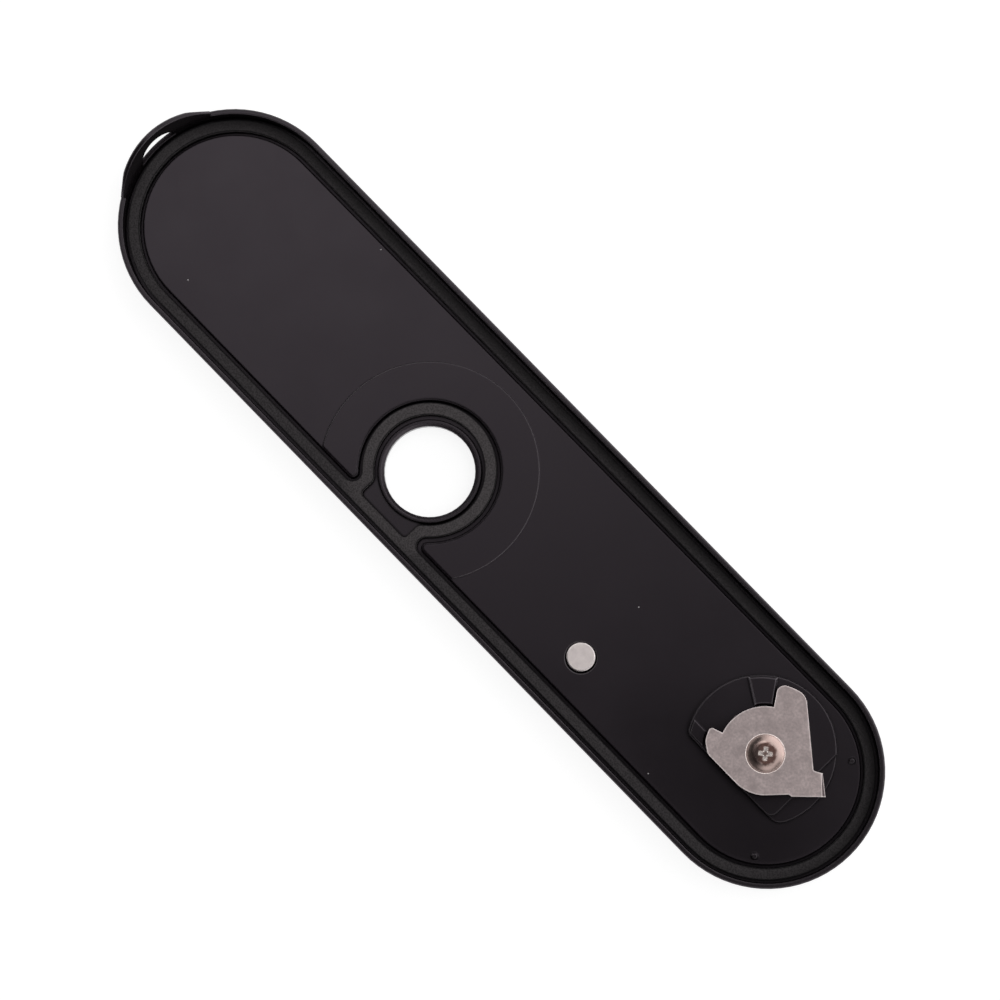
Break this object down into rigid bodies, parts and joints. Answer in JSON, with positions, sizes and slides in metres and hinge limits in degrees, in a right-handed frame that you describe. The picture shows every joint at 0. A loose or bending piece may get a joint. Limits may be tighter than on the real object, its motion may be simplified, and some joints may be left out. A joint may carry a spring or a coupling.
{
  "type": "camera base plate",
  "caption": "Shallow black metal base plate for a small camera body, with a foam seal, a tripod hole, a slotted hook tongue at one end and a turn lock with a folding key at the other.",
  "frame": {"origin": "axis of the tripod hole, at the flat outer face of the plate", "axes": "+X along the plate towards the lock end; +Y across the plate, away from the long side that is nearer to the tripod hole; +Z out of the inner side, towards the camera body"},
  "size_m": [0.1394, 0.0323, 0.008],
  "materials": {
    "black_finish": "matt black",
    "foam_seal": "fine foam",
    "bright_nickel": "plated",
    "bush_metal": "turned",
    "ring_rubber": "moulded",
    "bare_steel": "stamped and tumbled"
  },
  "bodies": {
    "plate": {"base_shell": "black_finish", "seal_gasket": "foam_seal", "sensor_magnet": "bright_nickel", "shaft_bush": "bush_metal"},
    "rotor": {"lock_rotor": "black_finish", "shaft_o_ring": "ring_rubber", "key_pins": "bare_steel", "spring_washer": "bare_steel", "lock_cam": "bare_steel", "cam_screw": "bare_steel"},
    "key": {"lock_key": "black_finish"}
  },
  "joints": [
    {"name": "lock_turn", "type": "hinge", "parent": "plate", "child": "rotor", "pos_m": [0.0605, 0.0059, 0.0025], "axis": [0, 0, 1], "range_deg": [-50, 0]},
    {"name": "key_fold", "type": "hinge", "parent": "rotor", "child": "key", "pos_m": [0.0605, 0.0059, 0.0007], "axis": [0, -1, 0], "range_deg": [0, 90]}
  ]
}
